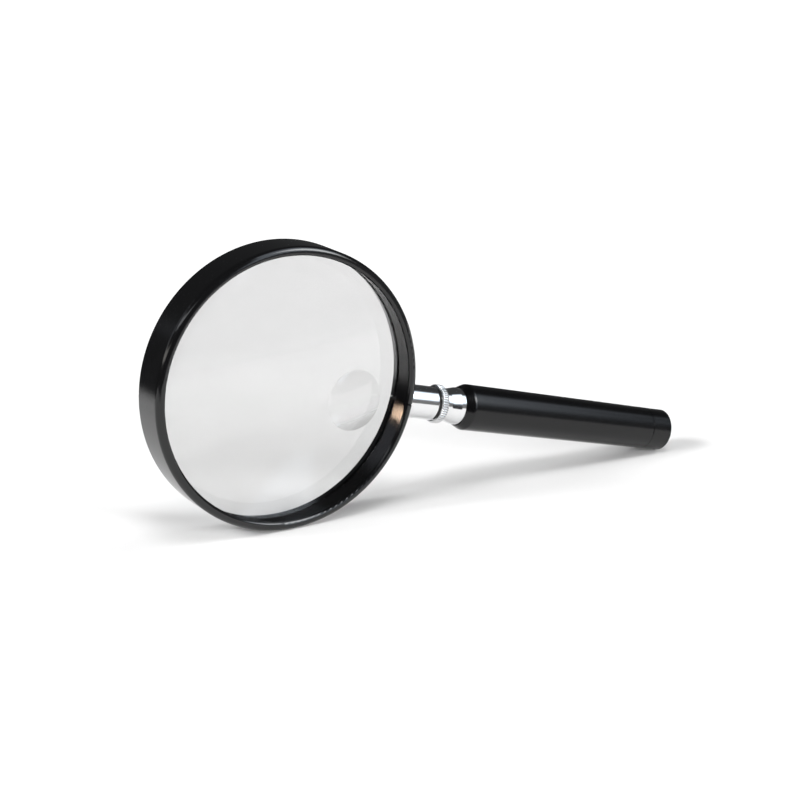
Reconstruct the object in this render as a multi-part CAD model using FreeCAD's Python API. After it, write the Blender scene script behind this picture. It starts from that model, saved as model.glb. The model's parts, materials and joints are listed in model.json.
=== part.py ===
import FreeCAD, Part
import math
import os

V = FreeCAD.Vector
X_AXIS = V(1, 0, 0)
Y_AXIS = V(0, 1, 0)
Z_AXIS = V(0, 0, 1)
LENS_CENTRE = V(0, 0, 0)

# Hand magnifying glass with a screw-off handle, in millimetres.
#
# Every piece is first drawn in the glass's own frame: the rim's centre is the zero point, the
# handle's axis is +X, the lens looks along Y with its front towards -Y, and +Z is up. The whole
# assembly is then tipped until its rim and the end of its handle stand on one floor.

# Rim: a split ring, C-shaped in section, that closes round the lens
rim_radius = 46.5
rim_half_depth = 7.3
rim_front_rounding = 1.8
rim_back_rounding = 1.0
front_lip_radius = 43.5
front_lip_rounding = 1.0
front_lip_depth = 1.5
front_lip_bevel_end = -4.8
wall_radius = 44.6
groove_radius = 45.05
back_lip_radius = 44.2
back_lip_rounding = 0.4
split_width = 0.5
lug_radius = 4.2
lug_start = 45.6
lug_end = 52.5

# Main lens: equal curves on both sides of a ground edge that sits in the rim's groove
lens_radius = 45.0
lens_curve_radius = 300.0
lens_edge_front = 1.4
lens_edge_back = 3.4

# Bifocal insert: a small strong lens cemented on the front of the main one, near the handle
insert_radius = 10.3
insert_curve_radius = 36.5
insert_reach = 27.8
insert_clocking = 3.9

# Neck: a chromed sleeve round the rim's two lugs, with a tapped bush in its outer end
neck_radius = 5.65
neck_start = 45.9
neck_end = 57.8
neck_edge_rounding = 0.3
bush_start = 52.7
bush_end = 57.5
neck_washer_radius = 5.2
neck_washer_bore = 2.6
joint_clearance = 0.02

# Stud: an M5 screw from the neck, through the ferrule, to a nut inside the grip
stud_radius = 2.5
stud_running_clearance = 0.05
stud_start = 53.2
stud_end = 87.0
stud_chamfer = 0.4

# Knurled collar on the front of the ferrule
collar_start = 58.5
collar_end = 61.3
collar_radius = 6.5
collar_tooth_depth = 0.28
collar_teeth = 48
collar_chamfer = 0.3
collar_seat_radius = 4.0
collar_seat_recess = 0.2

# Ferrule: a chromed flare that carries the collar and enters the grip
ferrule_front_radius = 5.5
ferrule_flare_start = 63.2
ferrule_flare_end = 66.6
ferrule_land_radius = 6.28
ferrule_land_end = 69.4
ferrule_edge_rounding = 0.2
ferrule_spigot_radius = 5.0
ferrule_spigot_end = 76.0

# Grip: a hollow tapered handle with a web near its front for the stud's nut
grip_start = 68.4
grip_mouth_clearance = 0.02
grip_face_radius = 6.6
grip_shoulder = 71.1
grip_shoulder_radius = 7.84
grip_shoulder_rounding = 2.0
grip_end = 149.95
grip_end_radius = 7.34
grip_bore_radius = 5.6
web_start = ferrule_spigot_end
web_end = 80.0
web_hole_radius = 2.6
seam_chamfer = 0.2

# Nut and washer inside the grip
tie_washer_radius = 4.6
tie_washer_thickness = 0.8
tie_nut_across_flats = 8.0
tie_nut_thickness = 4.0

# End cap: a hollow plug that closes the grip
cap_radius = 7.3
cap_end = 158.4
cap_end_rounding = 0.8
cap_end_wall = 2.2
cap_plug_start = 144.15
cap_plug_wall = 1.2
cap_plug_chamfer = 0.4


def rounded_corner(before, corner, after, radius):
    """The arc of the given radius that rounds a corner between two straight runs."""
    towards_before = (before - corner).normalize()
    towards_after = (after - corner).normalize()
    half_angle = towards_before.getAngle(towards_after) / 2
    bisector = (towards_before + towards_after).normalize()
    run = radius / math.tan(half_angle)
    centre = corner + bisector * (radius / math.sin(half_angle))
    return Part.Arc(
        corner + towards_before * run,
        centre - bisector * radius,
        corner + towards_after * run,
    ).toShape()


def outline(corners):
    """A flat face in the XY plane. Each corner is (x, y), or (x, y, radius) if it is rounded."""
    points = [V(corner[0], corner[1], 0) for corner in corners]
    arcs = []
    for i, corner in enumerate(corners):
        if len(corner) == 3:
            following = points[(i + 1) % len(points)]
            arcs.append(rounded_corner(points[i - 1], points[i], following, corner[2]))
        else:
            arcs.append(None)

    edges = []
    for i, arc in enumerate(arcs):
        start = arcs[i - 1].Vertexes[-1].Point if arcs[i - 1] else points[i - 1]
        end = arc.Vertexes[0].Point if arc else points[i]
        edges.append(Part.makeLine(start, end))
        if arc:
            edges.append(arc)
    return Part.Face(Part.Wire(edges))


def turned(corners, axis=X_AXIS):
    """A solid of revolution about the handle's axis, or about the lens axis if axis is Y."""
    return outline(corners).revolve(LENS_CENTRE, axis, 360)


def washer(start, end, bore_radius, radius):
    """A plain flat ring on the handle's axis."""
    return turned([(start, bore_radius), (end, bore_radius), (end, radius), (start, radius)])


def prism(points, start, end):
    """A prism along the handle's axis. Each point of its section is (radius, angle)."""
    section = [V(start, r * math.cos(angle), r * math.sin(angle)) for r, angle in points]
    return Part.Face(Part.makePolygon(section + section[:1])).extrude(V(end - start, 0, 0))


def sag(curve_radius, reach):
    """How far a sphere falls away from its apex at a given distance from its axis."""
    return curve_radius - math.sqrt(curve_radius ** 2 - reach ** 2)


front_apex = lens_edge_front - sag(lens_curve_radius, lens_radius)
back_apex = lens_edge_back + sag(lens_curve_radius, lens_radius)


def front_face_at(reach):
    """The Y of the main lens's front at a given distance from its axis."""
    return front_apex + sag(lens_curve_radius, reach)


def back_face_at(reach):
    """The Y of the main lens's back at a given distance from its axis."""
    return back_apex - sag(lens_curve_radius, reach)


def make_rim():
    """The split ring with a half-round lug on each side of the split."""
    ring = turned([
        (rim_radius, -rim_half_depth, rim_front_rounding),
        (front_lip_radius, -rim_half_depth, front_lip_rounding),
        (front_lip_radius, front_lip_depth - rim_half_depth),
        (wall_radius, front_lip_bevel_end),
        (wall_radius, front_face_at(wall_radius)),
        (groove_radius, front_face_at(wall_radius)),
        (groove_radius, back_face_at(back_lip_radius)),
        (back_lip_radius, back_face_at(back_lip_radius)),
        (back_lip_radius, rim_half_depth, back_lip_rounding),
        (rim_radius, rim_half_depth, rim_back_rounding),
    ], Y_AXIS)
    lugs = Part.makeCylinder(lug_radius, lug_end - lug_start, V(lug_start, 0, 0), X_AXIS)
    split = Part.makeBox(
        lug_end,
        4 * rim_half_depth,
        split_width,
        V(rim_radius / 2, -2 * rim_half_depth, -split_width / 2),
    )
    return ring.fuse(lugs).cut(split).removeSplitter()


def lens_arc(apex, curve_radius, reach, facing):
    """A lens face's section, from the axis outwards. facing is -1 if it bulges to the front."""
    points = [
        V(distance, apex - facing * sag(curve_radius, distance), 0)
        for distance in (0, reach / 2, reach)
    ]
    return Part.Arc(*points).toShape()


def lens_between(front, back):
    """The solid of revolution between two lens face sections, with a straight edge if they part."""
    edges = [front, back, Part.makeLine(front.Vertexes[0].Point, back.Vertexes[0].Point)]
    rim_points = [front.Vertexes[-1].Point, back.Vertexes[-1].Point]
    if not rim_points[0].isEqual(rim_points[1], 1e-6):
        edges.append(Part.makeLine(*rim_points))
    section = Part.Face(Part.Wire(Part.__sortEdges__(edges)))
    return section.revolve(LENS_CENTRE, Y_AXIS, 360)


def make_main_lens():
    front = lens_arc(front_apex, lens_curve_radius, lens_radius, -1)
    back = lens_arc(back_apex, lens_curve_radius, lens_radius, 1)
    return lens_between(front, back)


def make_insert():
    """The cap between the main lens's front and a stronger curve, swung out along that front."""
    bump = sag(insert_curve_radius, insert_radius) - sag(lens_curve_radius, insert_radius)
    front = lens_arc(front_apex - bump, insert_curve_radius, insert_radius, -1)
    back = lens_arc(front_apex, lens_curve_radius, insert_radius, -1)
    insert = lens_between(front, back)
    curve_centre = V(0, front_apex + lens_curve_radius, 0)
    swing = math.degrees(math.asin(insert_reach / lens_curve_radius))
    insert.rotate(curve_centre, Z_AXIS, swing)
    insert.rotate(LENS_CENTRE, Y_AXIS, insert_clocking)
    return insert


def make_neck_sleeve():
    """The chromed tube, with its front end hollowed to sit on the rim."""
    tube = turned([
        (neck_start, lug_radius),
        (neck_end, lug_radius),
        (neck_end, neck_radius, neck_edge_rounding),
        (neck_start, neck_radius),
    ])
    depth = 4 * rim_half_depth
    return tube.cut(Part.makeCylinder(rim_radius, depth, V(0, -depth / 2, 0), Y_AXIS))


def make_stud():
    """The threaded stud, drawn as a plain cylinder at its outer diameter."""
    tip_radius = stud_radius - stud_chamfer
    return turned([
        (stud_start, 0),
        (stud_start, tip_radius),
        (stud_start + stud_chamfer, stud_radius),
        (stud_end - stud_chamfer, stud_radius),
        (stud_end, tip_radius),
        (stud_end, 0),
    ])


def make_collar():
    """The ring with fine teeth along the handle's axis and both its outer edges chamfered."""
    half_tooth = math.pi / collar_teeth
    toothed = prism(
        [
            (collar_radius - collar_tooth_depth * (i % 2), i * half_tooth)
            for i in range(2 * collar_teeth)
        ],
        collar_start,
        collar_end,
    )
    blank = turned([
        (collar_start, collar_seat_radius),
        (collar_end, collar_seat_radius),
        (collar_end, collar_radius - collar_chamfer),
        (collar_end - collar_chamfer, collar_radius),
        (collar_start + collar_chamfer, collar_radius),
        (collar_start, collar_radius - collar_chamfer),
    ])
    return toothed.common(blank)


def make_ferrule():
    """The flare between the collar and the grip, with a seat for each."""
    front = collar_start + collar_seat_recess
    return turned([
        (front, stud_radius),
        (front, collar_seat_radius),
        (collar_end, collar_seat_radius),
        (collar_end, ferrule_front_radius, ferrule_edge_rounding),
        (ferrule_flare_start, ferrule_front_radius),
        (ferrule_flare_end, ferrule_land_radius),
        (ferrule_land_end, ferrule_land_radius),
        (ferrule_land_end, ferrule_spigot_radius),
        (ferrule_spigot_end, ferrule_spigot_radius),
        (ferrule_spigot_end, stud_radius),
    ])


def make_grip():
    """The tapered tube, open at its end and stopped near its front by the web."""
    mouth_radius = ferrule_land_radius + grip_mouth_clearance
    return turned([
        (grip_start, mouth_radius),
        (grip_start, grip_face_radius),
        (grip_shoulder, grip_shoulder_radius, grip_shoulder_rounding),
        (grip_end - seam_chamfer, grip_end_radius),
        (grip_end, grip_end_radius - seam_chamfer),
        (grip_end, grip_bore_radius),
        (web_end, grip_bore_radius),
        (web_end, web_hole_radius),
        (web_start, web_hole_radius),
        (web_start, ferrule_spigot_radius),
        (ferrule_land_end, ferrule_spigot_radius),
        (ferrule_land_end, mouth_radius),
    ])


def make_tie_nut():
    """The hexagonal nut that pulls the ferrule and the grip together."""
    start = web_end + tie_washer_thickness
    end = start + tie_nut_thickness
    corner_radius = tie_nut_across_flats / math.sqrt(3)
    body = prism([(corner_radius, i * math.pi / 3) for i in range(6)], start, end)
    return body.cut(Part.makeCylinder(stud_radius, end - start, V(start, 0, 0), X_AXIS))


def make_end_cap():
    """The cap with a rounded end and a hollow plug that is pushed into the grip."""
    plug_inner_radius = grip_bore_radius - cap_plug_wall
    return turned([
        (grip_end, grip_bore_radius),
        (grip_end, cap_radius - seam_chamfer),
        (grip_end + seam_chamfer, cap_radius),
        (cap_end, cap_radius, cap_end_rounding),
        (cap_end, 0),
        (cap_end - cap_end_wall, 0),
        (cap_end - cap_end_wall, plug_inner_radius),
        (cap_plug_start, plug_inner_radius),
        (cap_plug_start, grip_bore_radius - cap_plug_chamfer),
        (cap_plug_start + cap_plug_chamfer, grip_bore_radius),
    ])


pieces = {
    "rim_ring": make_rim(),
    "main_lens": make_main_lens(),
    "bifocal_insert": make_insert(),
    "neck_sleeve": make_neck_sleeve(),
    "neck_bush": washer(bush_start, bush_end, stud_radius + stud_running_clearance, lug_radius),
    "neck_washer": washer(
        neck_end + joint_clearance,
        collar_start - joint_clearance,
        neck_washer_bore,
        neck_washer_radius,
    ),
    "handle_stud": make_stud(),
    "knurled_collar": make_collar(),
    "handle_ferrule": make_ferrule(),
    "handle_grip": make_grip(),
    "tie_washer": washer(
        web_end, web_end + tie_washer_thickness, web_hole_radius, tie_washer_radius
    ),
    "tie_nut": make_tie_nut(),
    "end_cap": make_end_cap(),
}

# The tilt that brings the cap's rounded edge down to the floor that the rim stands on. The edge
# is a circle of rounding centres, edge_reach along the handle and edge_offset from its axis.
edge_reach = cap_end - cap_end_rounding
edge_offset = cap_radius - cap_end_rounding
tilt = math.asin((rim_radius - cap_end_rounding) / math.hypot(edge_reach, edge_offset))
tilt -= math.atan2(edge_offset, edge_reach)

# The origin lies on the floor, halfway between the rim's far side and the handle's end.
handle_tip = edge_reach * math.cos(tilt) + edge_offset * math.sin(tilt) + cap_end_rounding
to_origin = V((rim_radius - handle_tip) / 2, 0, rim_radius)

os.makedirs("parts", exist_ok=True)
for name, piece in pieces.items():
    solid = piece.Solids[0]
    solid.rotate(LENS_CENTRE, Y_AXIS, math.degrees(tilt))
    solid.translate(to_origin)
    solid.exportStep(f"parts/{name}.step")
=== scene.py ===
import json
import math

import bmesh
import bpy
from mathutils import Matrix, Vector


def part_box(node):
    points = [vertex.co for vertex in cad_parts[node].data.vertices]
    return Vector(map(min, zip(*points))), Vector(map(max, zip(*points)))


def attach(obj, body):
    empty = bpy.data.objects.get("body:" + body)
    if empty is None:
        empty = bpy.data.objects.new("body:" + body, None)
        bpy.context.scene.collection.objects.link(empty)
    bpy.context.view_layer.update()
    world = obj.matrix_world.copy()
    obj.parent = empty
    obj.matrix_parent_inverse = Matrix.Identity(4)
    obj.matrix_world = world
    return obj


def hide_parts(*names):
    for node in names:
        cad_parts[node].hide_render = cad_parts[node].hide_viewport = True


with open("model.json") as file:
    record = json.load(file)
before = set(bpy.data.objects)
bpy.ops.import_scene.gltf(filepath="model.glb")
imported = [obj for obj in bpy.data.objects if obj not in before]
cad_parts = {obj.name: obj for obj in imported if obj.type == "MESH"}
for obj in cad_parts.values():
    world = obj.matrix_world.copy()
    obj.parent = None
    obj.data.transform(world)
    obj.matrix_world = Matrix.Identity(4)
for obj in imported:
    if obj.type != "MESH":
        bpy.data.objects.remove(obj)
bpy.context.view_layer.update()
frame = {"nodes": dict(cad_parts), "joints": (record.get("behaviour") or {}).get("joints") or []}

# The glass's own frame: the rim's centre is the zero point, the handle's axis is +X, the lens
# looks along Y with its front towards -Y, and +Z is up. Sizes below are in millimetres.
MM = 0.001
rim_low, rim_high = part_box("rim_ring")
RIM_RADIUS = (rim_high.z - rim_low.z) / 2
RIM_CENTRE = Vector((rim_low.x + RIM_RADIUS, 0, rim_low.z + RIM_RADIUS))
turn = next(j for j in frame["joints"] if j["name"] == "handle_turn")
HANDLE_AXIS = Vector(turn["axis"]).normalized()
LENS_AXIS = Vector((0, 1, 0))
UP_AXIS = HANDLE_AXIS.cross(LENS_AXIS)
TILT = math.atan2(-HANDLE_AXIS.z, HANDLE_AXIS.x)
GLASS_TURN = Matrix((HANDLE_AXIS, LENS_AXIS, UP_AXIS)).transposed().to_4x4()
GLASS_FRAME = Matrix.Translation(RIM_CENTRE) @ GLASS_TURN

# Main lens and the bifocal insert on its front
LENS_RADIUS = 45.0
LENS_CURVE = 300.0
LENS_EDGE_FRONT = 1.4
LENS_EDGE_BACK = 3.4
LENS_CHAMFER = 0.25
CHAMFER_DEPTH = LENS_CHAMFER * 0.3
GROUND_FROM = LENS_RADIUS - LENS_CHAMFER * 0.6
LENS_SEGMENTS = 288
BACK_RINGS = 28
FRONT_RINGS = 24
INSERT_RADIUS = 10.3
INSERT_CURVE = 36.5
INSERT_REACH = 27.8
INSERT_CLOCKING = math.radians(3.9)
INSERT_RINGS = 20

# M5 stud. Root and flank are shares of half a pitch: the flat at the groove's foot and the slope
# beside it. The core closes the solid at the axis.
STUD_START = 53.2
STUD_END = 87.0
STUD_RADIUS = 2.5
STUD_CORE = 0.001
STUD_SEGMENTS = 48
THREAD_PITCH = 0.8
THREAD_DEPTH = 0.45
THREAD_ROOT = 0.08
THREAD_FLANK = 0.84
RINGS_PER_TURN = 10
POINT_LENGTH = 0.6
POINT_DEPTH = 0.45

# Knurled collar
COLLAR_START = 58.5
COLLAR_END = 61.3
COLLAR_RADIUS = 6.5
COLLAR_BORE = 4.0
COLLAR_ROWS = 24
COLLAR_TEETH = 48
POINTS_PER_TOOTH = 10
TOOTH_DEPTH = 0.3
TOOTH_SHARPNESS = 3
COLLAR_ROUND_LENGTH = 0.7
COLLAR_ROUND_DEPTH = 0.6

# Irradiance that makes the pale floor just white, and how much brighter than that it is lit
FLOOR_LIGHT = 3.9
WHITE = 1.15
# Where the floor melts into the backdrop, at its back and at its front, in metres
FLOOR_HALF_WIDTH = 1.2
BACK_FADE = (0.10, 0.24)
FRONT_FADE = (-0.19, -0.28)

# Backdrop as seen through glass: it dims by this share as the ray rises between these elevations
THROUGH_GLASS_DIMMING = 0.32
DIMMING_ELEVATION = (-14.0, -4.0)

# What reflections see, in degrees of the sky. Azimuth 0 lies towards -Y and grows towards +X,
# elevation 0 is level. A patch is its two soft edges in azimuth, its two in elevation, its
# strength and its colour.
ROOM = (0.052, (0.95, 0.97, 1.0))
FLOOR_BELOW = (-15.5, -9)
SOFTBOX = (((14, 19), (68, 92)), ((-20, -19), (55, 72)), 2.1, (0.86, 0.96, 1.07))
PALE_WALL = (((24, 34), (120, 152)), ((-30, -25), (4, 26)), 0.15, (1, 1, 1))
HIGH_STRIP = (((-118, -100), (-50, -30)), ((32, 35), (40, 44)), 2.6, (0.93, 0.96, 1.0))
LOW_STRIP = (((-130, -105), (-70, -50)), ((11, 14), (19, 22)), 2.6, (1.0, 0.98, 0.93))
BACK_GLOW = (((-158, -150), (-125, -112)), ((10, 18), (30, 42)), 0.5, (0.85, 0.9, 1.0))
# Only for reflections of rays that have passed through glass: the warm spot on the rim's inner wall
TAN_SPOT = (((-144, -142), (-134, -132)), ((4.5, 5.5), (10.5, 11.5)), 42.0, (1.0, 0.72, 0.51))
# The softbox's lower edge climbs to the right: from this azimuth, at this rate, up to this height
SLANT_FROM = 21.0
SLANT_RATE = 0.68
SLANT_TOP = 33.0
SLANT_EDGE = (-2.0, 4.0)

# Soft light on the floor: name, azimuth, elevation, share of white. The shares add up to WHITE.
SUN_SPREAD = math.radians(20)
SUNS = (
    ("left", -100, 34, 0.31),
    ("low_front_right", 20, 12, 0.24),
    ("high_front", -20, 70, 0.24),
    ("front_left", -80, 34, 0.11),
    ("low_right", 80, 22, 0.12),
    ("front", -20, 46, 0.06),
    ("high_right", 60, 70, 0.04),
    ("low_left", -80, 22, 0.03),
)
# Round lights for reflections: name, azimuth, elevation, metres from the rim, metres across, radiance
LAMPS = (
    ("softbox", 45, 37, 0.4, 0.24, 4.0),
    ("softbox_core", 45, 37, 0.39, 0.15, 5.0),
)

# Camera: its place from the rim's centre in rim radii, its lens in mm, its dip and turn in radians
CAMERA_OFFSET = Vector((-6.0613, -11.7446, 3.8788))
CAMERA_LENS = 90.16
CAMERA_SENSOR = 36.0
CAMERA_DIP = 0.292994
CAMERA_TURN = -0.538031


def sag(curve, reach):
    """How deep a sphere of this radius has dropped at this distance from its axis."""
    return curve - math.sqrt(curve * curve - reach * reach)


def link(name, data):
    obj = bpy.data.objects.new(name, data)
    bpy.context.scene.collection.objects.link(obj)
    return obj


def mesh_object(name, rows, faces):
    """A new smooth object, from points in millimetres in the glass's own frame."""
    mesh = bpy.data.meshes.new(name)
    mesh.from_pydata([GLASS_FRAME @ (Vector(p) * MM) for p in rows], [], faces)
    mesh.validate()
    bm = bmesh.new()
    bm.from_mesh(mesh)
    bmesh.ops.remove_doubles(bm, verts=bm.verts, dist=1e-8)
    bmesh.ops.recalc_face_normals(bm, faces=bm.faces)
    bm.to_mesh(mesh)
    bm.free()
    for polygon in mesh.polygons:
        polygon.use_smooth = True
    return link(name, mesh)


def sharpen(obj, degrees):
    """Keeps the edges that turn by more than this angle crisp."""
    bm = bmesh.new()
    bm.from_mesh(obj.data)
    for edge in bm.edges:
        if len(edge.link_faces) == 2 and edge.calc_face_angle(0) > math.radians(degrees):
            edge.smooth = False
    bm.to_mesh(obj.data)
    bm.free()


# ---------------------------------------------------------------- materials

class Tree:
    """Shorthand for building a node tree."""

    def __init__(self, owner):
        owner.use_nodes = True
        self.tree = owner.node_tree
        self.tree.nodes.clear()

    def set(self, socket, value):
        if isinstance(value, bpy.types.NodeSocket):
            self.tree.links.new(value, socket)
        else:
            socket.default_value = value

    def add(self, kind, inputs=None, **settings):
        node = self.tree.nodes.new(kind)
        for key, value in settings.items():
            setattr(node, key, value)
        for key, value in (inputs or {}).items():
            self.set(node.inputs[key], value)
        return node

    def maths(self, operation, a, b=0.0, clamp=False):
        return self.add("ShaderNodeMath", {0: a, 1: b}, operation=operation, use_clamp=clamp).outputs[0]


class Nodes(Tree):
    """One material's node tree."""

    def __init__(self, name):
        self.material = bpy.data.materials.new(name)
        super().__init__(self.material)

    def place(self):
        """The surface point in the glass's own frame, in millimetres."""
        coords = self.add(
            "ShaderNodeMapping",
            {
                "Vector": self.add("ShaderNodeTexCoord").outputs["Object"],
                "Location": RIM_CENTRE,
                "Rotation": (0, TILT, 0),
            },
            vector_type="TEXTURE",
        ).outputs[0]
        return self.add(
            "ShaderNodeVectorMath", {0: coords, "Scale": 1 / MM}, operation="SCALE"
        ).outputs[0]

    def stretch(self, vector, scale):
        return self.add("ShaderNodeVectorMath", {0: vector, 1: scale}, operation="MULTIPLY").outputs[0]

    def noise(self, vector, scale, detail=3.0, roughness=0.5):
        return self.add(
            "ShaderNodeTexNoise",
            {"Vector": vector, "Scale": scale, "Detail": detail, "Roughness": roughness},
        ).outputs["Fac"]

    def span(self, value, given, wanted):
        """The value, taken from one range to another and held at its ends."""
        (low, high), (to_low, to_high) = given, wanted
        return self.add(
            "ShaderNodeMapRange",
            {"Value": value, "From Min": low, "From Max": high, "To Min": to_low, "To Max": to_high},
        ).outputs["Result"]

    def blend(self, factor, a, b):
        """Between two colours."""
        node = self.add("ShaderNodeMix", data_type="RGBA")
        for index, value in ((0, factor), (6, (*a, 1)), (7, (*b, 1))):
            self.set(node.inputs[index], value)
        return node.outputs[2]

    def bump(self, height, strength, distance):
        return self.add(
            "ShaderNodeBump", {"Height": height, "Strength": strength, "Distance": distance}
        ).outputs["Normal"]

    def principled(self, inputs):
        return self.add("ShaderNodeBsdfPrincipled", inputs).outputs[0]

    def mix(self, factor, a, b):
        return self.add("ShaderNodeMixShader", {0: factor, 1: a, 2: b}).outputs[0]

    def finish(self, shader):
        self.add("ShaderNodeOutputMaterial", {"Surface": shader})
        return self.material


def rim_plastic():
    n = Nodes("rim_plastic")
    at = n.place()
    cloudy = n.noise(at, scale=0.05, detail=2.0)
    fine = n.noise(at, scale=0.9, detail=4.0, roughness=0.6)
    hair = n.noise(n.stretch(at, (0.4, 3.0, 0.4)), scale=1.6, detail=6.0, roughness=0.7)
    worn = n.maths("ADD", fine, n.maths("MULTIPLY", hair, 0.6))
    return n.finish(n.principled({
        "Base Color": n.blend(cloudy, (0.002, 0.002, 0.0022), (0.0035, 0.0035, 0.0038)),
        "Roughness": n.span(worn, (0.5, 1.1), (0.09, 0.16)),
        "Normal": n.bump(n.noise(at, scale=0.35, detail=2.0), strength=0.05, distance=0.0001),
        "IOR": 1.5,
    }))


def grip_plastic():
    n = Nodes("grip_plastic")
    at = n.place()
    cloudy = n.noise(at, scale=0.06)
    fine = n.noise(at, scale=1.4, detail=5.0, roughness=0.65)
    along = n.noise(n.stretch(at, (0.15, 2.0, 2.0)), scale=1.0, detail=4.0, roughness=0.6)
    worn = n.maths("ADD", fine, n.maths("MULTIPLY", along, 0.5))
    return n.finish(n.principled({
        "Base Color": n.blend(cloudy, (0.001, 0.001, 0.0012), (0.0018, 0.0018, 0.002)),
        "Roughness": n.span(worn, (0.45, 1.05), (0.15, 0.24)),
        "Normal": n.bump(fine, strength=0.08, distance=0.00006),
        "IOR": 1.5,
        "Specular IOR Level": 0.38,
    }))


def plated(name, roughness, rings=0.05, painted_shade_scale=1.0):
    """Bright plating over turned metal: fine rings along the handle's axis. A scale below 1 darkens a
    copy of the plating's colour, as painted shade.
    """
    n = Nodes(name)
    at = n.place()
    ring = n.noise(n.stretch(at, (6.0, 0.02, 0.02)), scale=1.0, detail=5.0, roughness=0.7)
    cloudy = n.noise(at, scale=0.25)
    dark, light = ([v * painted_shade_scale for v in colour] for colour in ((0.76, 0.765, 0.77), (0.82, 0.82, 0.825)))
    worn = n.maths("ADD", ring, n.maths("MULTIPLY", cloudy, 0.4))
    return n.finish(n.principled({
        "Base Color": n.blend(cloudy, dark, light),
        "Metallic": 1.0,
        "Roughness": n.span(worn, (0.4, 1.0), roughness),
        "Normal": n.bump(ring, strength=rings, distance=0.00005),
    }))


def turned_metal(name, dark, light, roughness):
    n = Nodes(name)
    at = n.place()
    ring = n.noise(n.stretch(at, (5.0, 0.05, 0.05)), scale=1.0, detail=5.0, roughness=0.7)
    cloudy = n.noise(at, scale=0.5, detail=4.0)
    return n.finish(n.principled({
        "Base Color": n.blend(cloudy, dark, light),
        "Metallic": 1.0,
        "Roughness": n.span(ring, (0.3, 0.7), roughness),
        "Normal": n.bump(ring, strength=0.15, distance=0.00005),
    }))


def fibre():
    n = Nodes("fibre")
    grain = n.noise(n.place(), scale=4.0, detail=6.0, roughness=0.7)
    return n.finish(n.principled({
        "Base Color": n.blend(grain, (0.012, 0.012, 0.013), (0.035, 0.034, 0.033)),
        "Roughness": n.span(grain, (0.3, 0.7), (0.5, 0.75)),
        "Normal": n.bump(grain, strength=0.3, distance=0.0001),
    }))


def lens_glass():
    """Polished, tinted glass. Lamps reach what is behind it unbent, through a paler tint."""
    n = Nodes("lens_glass")
    smudge = n.noise(n.stretch(n.place(), (0.05, 0.05, 0.09)), scale=1.0, roughness=0.55)
    faint = n.span(smudge, (0.45, 0.75), (0.0, 1.0))
    glass = n.principled({
        "Base Color": n.blend(faint, (0.72, 0.72, 0.72), (0.704, 0.704, 0.704)),
        "Roughness": 0.0,
        "IOR": 1.52,
        "Transmission Weight": 1.0,
    })
    clear = n.add("ShaderNodeBsdfTransparent", {"Color": (0.93, 0.935, 0.94, 1)}).outputs[0]
    shadow = n.add("ShaderNodeLightPath").outputs["Is Shadow Ray"]
    return n.finish(n.mix(shadow, glass, clear))


def lens_edge():
    """The lens's fine-ground edge."""
    n = Nodes("lens_edge")
    grain = n.noise(n.place(), scale=6.0, detail=5.0, roughness=0.7)
    return n.finish(n.principled({
        "Base Color": n.blend(grain, (0.70, 0.70, 0.69), (0.80, 0.80, 0.79)),
        "Roughness": n.span(grain, (0.3, 0.7), (0.12, 0.22)),
        "IOR": 1.52,
        "Transmission Weight": 1.0,
    }))


def paint(obj, material):
    obj.data.materials.clear()
    obj.data.materials.append(material)


nodes = frame["nodes"]
grip_black = grip_plastic()
chrome = plated("chrome", roughness=(0.05, 0.14))
steel = turned_metal("steel", (0.42, 0.43, 0.44), (0.58, 0.58, 0.6), roughness=(0.22, 0.4))
for node, material in (
    ("rim_ring", rim_plastic()),
    ("neck_sleeve", chrome),
    ("handle_ferrule", chrome),
    ("neck_bush", turned_metal("brass", (0.52, 0.36, 0.14), (0.68, 0.50, 0.22), roughness=(0.2, 0.4))),
    ("neck_washer", fibre()),
    ("handle_grip", grip_black),
    ("end_cap", grip_black),
    ("tie_washer", steel),
    ("tie_nut", steel),
):
    paint(nodes[node], material)


# ---------------------------------------------------------------- lens

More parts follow.
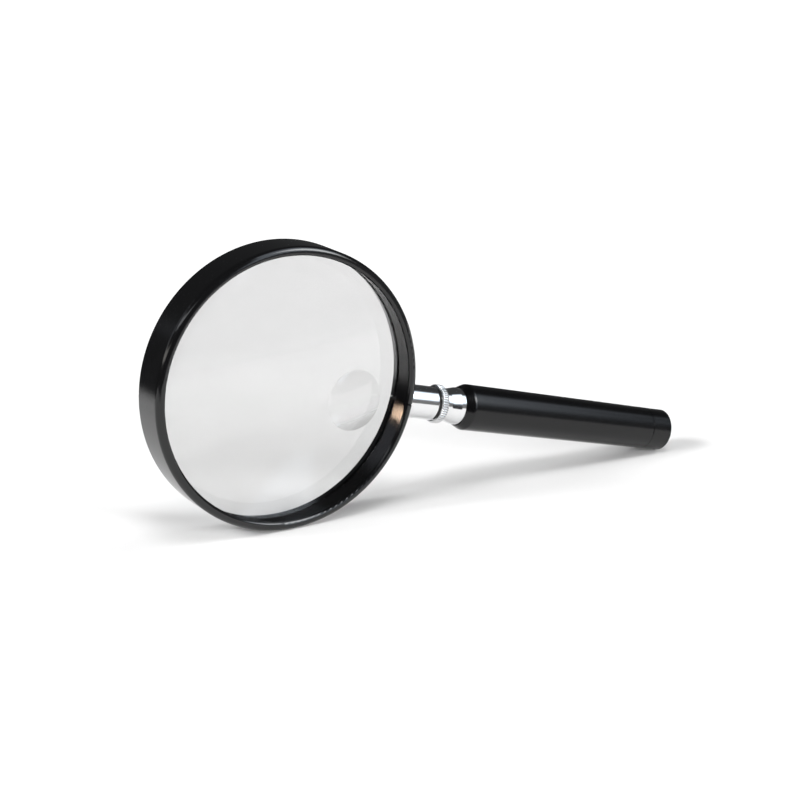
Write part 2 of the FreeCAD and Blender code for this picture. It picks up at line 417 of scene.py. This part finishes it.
def build_lens():
    """One closed glass body: back face, edge, front face and the insert's cap."""
    front_apex = LENS_EDGE_FRONT - sag(LENS_CURVE, LENS_RADIUS)
    back_apex = LENS_EDGE_BACK + sag(LENS_CURVE, LENS_RADIUS)
    points, faces, edge_faces = [], [], []

    def ring(make):
        start = len(points)
        for i in range(LENS_SEGMENTS):
            points.append(make(2 * math.pi * i / LENS_SEGMENTS))
        return start

    def join(a, b, into=faces):
        for i in range(LENS_SEGMENTS):
            j = (i + 1) % LENS_SEGMENTS
            into.append((a + i, a + j, b + j, b + i))

    def close(a, centre):
        points.append(centre)
        for i in range(LENS_SEGMENTS):
            faces.append((a + i, a + (i + 1) % LENS_SEGMENTS, len(points) - 1))

    def circle(radius, y):
        return lambda t: (radius * math.cos(t), y, radius * math.sin(t))

    # back
    polished = LENS_RADIUS - LENS_CHAMFER
    reaches = [polished * k / BACK_RINGS for k in range(BACK_RINGS, 0, -1)]
    back = [ring(circle(r, back_apex - sag(LENS_CURVE, r))) for r in reaches]
    for a, b in zip(back, back[1:]):
        join(a, b)
    close(back[-1], (0, back_apex, 0))

    # edge, with a small ground bevel on each side
    low = ring(circle(LENS_RADIUS, LENS_EDGE_BACK - CHAMFER_DEPTH))
    high = ring(circle(LENS_RADIUS, LENS_EDGE_FRONT + CHAMFER_DEPTH))
    front_outer = ring(circle(polished, front_apex + sag(LENS_CURVE, polished)))
    join(back[0], low, edge_faces)
    join(low, high, edge_faces)
    join(high, front_outer, edge_faces)

    # front, between the outer circle and the insert's circle
    swing = math.asin(INSERT_REACH / LENS_CURVE)
    centre_y = front_apex + LENS_CURVE
    bump = sag(INSERT_CURVE, INSERT_RADIUS) - sag(LENS_CURVE, INSERT_RADIUS)

    def on_insert(reach, depth, t):
        """A point of the insert, turned from the lens's axis out to the insert's place."""
        x, y, z = reach * math.cos(t), depth - centre_y, reach * math.sin(t)
        x, y = x * math.cos(swing) - y * math.sin(swing), x * math.sin(swing) + y * math.cos(swing)
        c, s = math.cos(INSERT_CLOCKING), math.sin(INSERT_CLOCKING)
        return (x * c + z * s, y + centre_y, -x * s + z * c)

    border_depth = front_apex + sag(LENS_CURVE, INSERT_RADIUS)
    previous = front_outer
    for k in range(1, FRONT_RINGS + 1):

        def between(t, share=k / FRONT_RINGS):
            outer = (polished * math.cos(t), polished * math.sin(t))
            inner = on_insert(INSERT_RADIUS, border_depth, t)
            x = outer[0] + (inner[0] - outer[0]) * share
            z = outer[1] + (inner[2] - outer[1]) * share
            return (x, front_apex + sag(LENS_CURVE, math.hypot(x, z)), z)

        current = ring(between)
        join(previous, current)
        previous = current

    # the insert's cap
    for k in range(INSERT_RINGS - 1, 0, -1):
        reach = INSERT_RADIUS * k / INSERT_RINGS
        depth = front_apex - bump + sag(INSERT_CURVE, reach)
        current = ring(lambda t, reach=reach, depth=depth: on_insert(reach, depth, t))
        join(previous, current)
        previous = current
    close(previous, on_insert(0, front_apex - bump, 0))

    lens = mesh_object("lens", points, faces + edge_faces)
    lens.data.materials.append(lens_glass())
    lens.data.materials.append(lens_edge())
    for polygon in lens.data.polygons:
        out = polygon.center - RIM_CENTRE
        if math.hypot(out.x, out.z) > GROUND_FROM * MM:
            polygon.material_index = 1
    sharpen(lens, degrees=9)
    return lens


lens = build_lens()
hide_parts("main_lens", "bifocal_insert")
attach(lens, "lens_head")


# ---------------------------------------------------------------- collar and stud

def lathe_x(name, rings, around, radius_at):
    """A closed solid round the handle's axis. rings are (s, r) round its closed section, and
    radius_at(s, r, t) may shape the radius with the angle t."""
    points, faces = [], []
    for s, r in rings:
        for i in range(around):
            t = 2 * math.pi * i / around
            q = radius_at(s, r, t)
            points.append((s, q * math.cos(t), q * math.sin(t)))
    for k in range(len(rings)):
        a, b = k * around, (k + 1) % len(rings) * around
        for i in range(around):
            j = (i + 1) % around
            faces.append((a + i, a + j, b + j, b + i))
    return mesh_object(name, points, faces)


def build_collar():
    """A ring with rounded edges and fine pointed grooves across its rim."""
    mid = (COLLAR_START + COLLAR_END) / 2
    half = (COLLAR_END - COLLAR_START) / 2
    halfway_out = (COLLAR_BORE + COLLAR_RADIUS) / 2
    rings = [(COLLAR_START, COLLAR_BORE), (COLLAR_START, halfway_out)]
    for k in range(COLLAR_ROWS + 1):
        rings.append((mid - half * math.cos(math.pi * k / COLLAR_ROWS), COLLAR_RADIUS))
    rings += [(COLLAR_END, halfway_out), (COLLAR_END, COLLAR_BORE)]

    def shaped(s, r, t):
        if r < COLLAR_RADIUS:
            return r
        edge = half - abs(s - mid)
        over = max(0.0, 1 - edge / COLLAR_ROUND_LENGTH)
        top = COLLAR_RADIUS - COLLAR_ROUND_DEPTH * (1 - math.sqrt(max(0.0, 1 - over * over)))
        tooth = TOOTH_DEPTH * (0.5 - 0.5 * math.cos(COLLAR_TEETH * t)) ** TOOTH_SHARPNESS
        return top - tooth * (1 - over * over)

    collar = lathe_x("collar", rings, COLLAR_TEETH * POINTS_PER_TOOTH, shaped)
    sharpen(collar, degrees=35)
    # The collar is the sleeve's chrome with its colour scaled to 0.8: painted shade that tones down its
    # highlights.
    knurled = plated("knurled_chrome", roughness=(0.15, 0.26), rings=0.03, painted_shade_scale=0.8)
    collar.data.materials.append(knurled)
    return collar


def build_stud():
    """The stud with its rolled thread, a right-hand helix that runs its whole length, and a short
    point at each end."""
    step = THREAD_PITCH / RINGS_PER_TURN
    count = int(round((STUD_END - STUD_START) / step))
    rings = [(STUD_START, STUD_CORE)]
    rings += [(STUD_START + step * k, STUD_RADIUS) for k in range(count + 1)]
    rings += [(STUD_END, STUD_CORE)]

    def shaped(s, r, t):
        if r < STUD_RADIUS:
            return r
        ends = min(s - STUD_START, STUD_END - s)
        phase = (s / THREAD_PITCH - t / (2 * math.pi)) % 1.0
        crest = 2 * abs(phase - 0.5)
        groove = THREAD_DEPTH * (1 - min(1.0, max(0.0, (crest - THREAD_ROOT) / THREAD_FLANK)))
        cone = POINT_DEPTH * max(0.0, 1 - ends / POINT_LENGTH)
        return STUD_RADIUS - max(groove, cone)

    stud = lathe_x("stud", rings, STUD_SEGMENTS, shaped)
    sharpen(stud, degrees=60)
    plain = turned_metal("stud_steel", (0.42, 0.43, 0.44), (0.6, 0.6, 0.62), roughness=(0.15, 0.3))
    stud.data.materials.append(plain)
    return stud


collar = build_collar()
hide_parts("knurled_collar")
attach(collar, "handle")

stud = build_stud()
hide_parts("handle_stud")
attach(stud, "handle")


# ---------------------------------------------------------------- floor, light and camera

def build_floor():
    """A pale floor that turns transparent towards its back and its front."""
    side, front, back = FLOOR_HALF_WIDTH, FRONT_FADE[1], BACK_FADE[1]
    corners = [(-side, front, 0), (side, front, 0), (side, back, 0), (-side, back, 0)]
    mesh = bpy.data.meshes.new("floor")
    mesh.from_pydata(corners, [], [(0, 1, 2, 3)])
    floor = link("floor", mesh)
    n = Nodes("pale_floor")
    at = n.add("ShaderNodeTexCoord").outputs["Object"]
    paper = n.principled({
        "Base Color": n.blend(n.noise(at, scale=40.0), (0.80, 0.80, 0.80), (0.82, 0.82, 0.82)),
        "Roughness": 0.9,
        "Specular IOR Level": 0.1,
    })
    depth = n.add("ShaderNodeSeparateXYZ", {0: at}).outputs["Y"]
    gone_back, gone_front = (n.span(depth, fade, (0.0, 1.0)) for fade in (BACK_FADE, FRONT_FADE))
    nothing = n.add("ShaderNodeBsdfTransparent").outputs[0]
    floor.data.materials.append(
        n.finish(n.mix(n.maths("MAXIMUM", gone_back, gone_front), paper, nothing))
    )


class Sky(Tree):
    """The world's node tree, with angles in degrees."""

    def __init__(self):
        world = bpy.data.worlds.new("studio")
        bpy.context.scene.world = world
        super().__init__(world)
        towards = self.add("ShaderNodeTexCoord").outputs["Generated"]
        x, y, z = self.add("ShaderNodeSeparateXYZ", {0: towards}).outputs
        self.azimuth = self.maths("DEGREES", self.maths("ARCTAN2", x, self.times(y, -1.0)))
        self.elevation = self.maths("DEGREES", self.maths("ARCSINE", z))

    def times(self, a, b):
        return self.maths("MULTIPLY", a, b)

    def ramp(self, value, start, end, low=0.0, high=1.0):
        return self.add(
            "ShaderNodeMapRange",
            {"Value": value, "From Min": start, "From Max": end, "To Min": low, "To Max": high},
            interpolation_type="SMOOTHSTEP",
        ).outputs["Result"]

    def window(self, value, rise, fall):
        """1 between two soft edges, each given as (start, end)."""
        return self.times(self.ramp(value, *rise), self.ramp(value, *fall, 1.0, 0.0))

    def light(self, mask, strength, colour=(1, 1, 1)):
        return self.add(
            "ShaderNodeBackground", {"Color": (*colour, 1), "Strength": self.times(mask, strength)}
        ).outputs[0]

    def patch(self, mask, azimuth, elevation, strength, colour):
        """Light from a patch of sky with soft edges, for the rays that the mask lets see it."""
        seen = self.times(self.window(self.azimuth, *azimuth), self.window(self.elevation, *elevation))
        return self.light(self.times(mask, seen), strength, colour)

    def sum(self, shaders):
        total = shaders[0]
        for shader in shaders[1:]:
            total = self.add("ShaderNodeAddShader", {0: total, 1: shader}).outputs[0]
        return total


def build_world():
    """White behind everything, dimmer towards the horizon for rays seen through glass. Reflections
    see a dim room instead: a big softbox at the front right, a pale wall on the right, two strip
    lights on the left, a bluish glow at the back left and the floor's white below the horizon."""
    sky = Sky()
    path = sky.add("ShaderNodeLightPath").outputs

    def any_of(depth):
        return sky.maths("GREATER_THAN", depth, 0.5)

    def none_of(depth):
        return sky.maths("LESS_THAN", depth, 0.5)

    first = none_of(sky.maths("ADD", path["Diffuse Depth"], path["Glossy Depth"]))
    plain = sky.maths("ADD", path["Is Camera Ray"], path["Is Transmission Ray"], clamp=True)
    direct = sky.times(first, plain)
    mirrored = sky.times(any_of(path["Glossy Depth"]), none_of(path["Diffuse Depth"]))
    through = sky.times(mirrored, any_of(path["Transmission Depth"]))

    slope = sky.times(sky.maths("SUBTRACT", sky.azimuth, SLANT_FROM), SLANT_RATE)
    lower = sky.maths("MINIMUM", sky.maths("MAXIMUM", slope, 0.0), SLANT_TOP)
    above = sky.ramp(sky.maths("SUBTRACT", sky.elevation, lower), *SLANT_EDGE)
    below = sky.ramp(sky.elevation, *FLOOR_BELOW, 1.0, 0.0)
    reflections = [
        sky.light(mirrored, *ROOM),
        sky.light(sky.times(mirrored, below), 1.0),
        sky.patch(sky.times(mirrored, above), *SOFTBOX),
        sky.patch(mirrored, *PALE_WALL),
        sky.patch(mirrored, *HIGH_STRIP),
        sky.patch(mirrored, *LOW_STRIP),
        sky.patch(mirrored, *BACK_GLOW),
        sky.patch(through, *TAN_SPOT),
    ]
    dimming = sky.ramp(sky.elevation, *DIMMING_ELEVATION, 0.0, THROUGH_GLASS_DIMMING * WHITE)
    falloff = sky.times(path["Is Transmission Ray"], dimming)
    backdrop = sky.times(direct, sky.maths("SUBTRACT", WHITE, falloff))
    seen = sky.add(
        "ShaderNodeMixShader", {0: direct, 1: sky.sum(reflections), 2: sky.light(backdrop, 1.0)}
    )
    sky.add("ShaderNodeOutputWorld", {"Surface": seen.outputs[0]})


def sky_direction(azimuth, elevation):
    a, e = math.radians(azimuth), math.radians(elevation)
    return Vector((math.sin(a) * math.cos(e), -math.cos(a) * math.cos(e), math.sin(e)))


def hang(name, light, towards):
    """A light that shines from that direction, and that the camera and refractions don't see."""
    obj = link(name, light)
    obj.rotation_euler = towards.to_track_quat("Z", "Y").to_euler()
    obj.visible_camera = False
    obj.visible_transmission = False
    return obj


def sun(name, azimuth, elevation, share):
    """One part of the soft light on the floor, as a share of white."""
    towards = sky_direction(azimuth, elevation)
    light = bpy.data.lights.new(name, "SUN")
    light.angle = SUN_SPREAD
    light.energy = share * FLOOR_LIGHT / towards.z
    hang(name, light, towards).visible_glossy = False


def lamp(name, azimuth, elevation, distance, size, radiance):
    """A round light that only reflections see, and no ray that has met a diffuse surface."""
    towards = sky_direction(azimuth, elevation)
    light = bpy.data.lights.new(name, "AREA")
    light.shape = "DISK"
    light.size = size
    light.energy = radiance * math.pi * math.pi * size * size / 4
    light.use_nodes = True
    tree = light.node_tree
    emission = next(n for n in tree.nodes if n.type == "EMISSION")
    undiffused = tree.nodes.new("ShaderNodeMath")
    undiffused.operation = "LESS_THAN"
    undiffused.inputs[1].default_value = 0.5
    path = tree.nodes.new("ShaderNodeLightPath")
    tree.links.new(path.outputs["Diffuse Depth"], undiffused.inputs[0])
    tree.links.new(undiffused.outputs[0], emission.inputs["Strength"])
    obj = hang(name, light, towards)
    obj.location = RIM_CENTRE + towards * distance
    obj.visible_diffuse = False


def build_camera():
    """Nearly fourteen rim radii off, 27 degrees left of the lens's axis, looking down 17 degrees."""
    data = bpy.data.cameras.new("camera")
    data.lens = CAMERA_LENS
    data.sensor_width = CAMERA_SENSOR
    camera = link("camera", data)
    camera.location = RIM_CENTRE + RIM_RADIUS * CAMERA_OFFSET
    camera.rotation_euler = (math.radians(90) - CAMERA_DIP, 0, CAMERA_TURN)
    bpy.context.scene.camera = camera


build_floor()
build_world()
for row in SUNS:
    sun(*row)
for row in LAMPS:
    lamp(*row)
build_camera()
bpy.context.scene.view_settings.view_transform = "Standard"
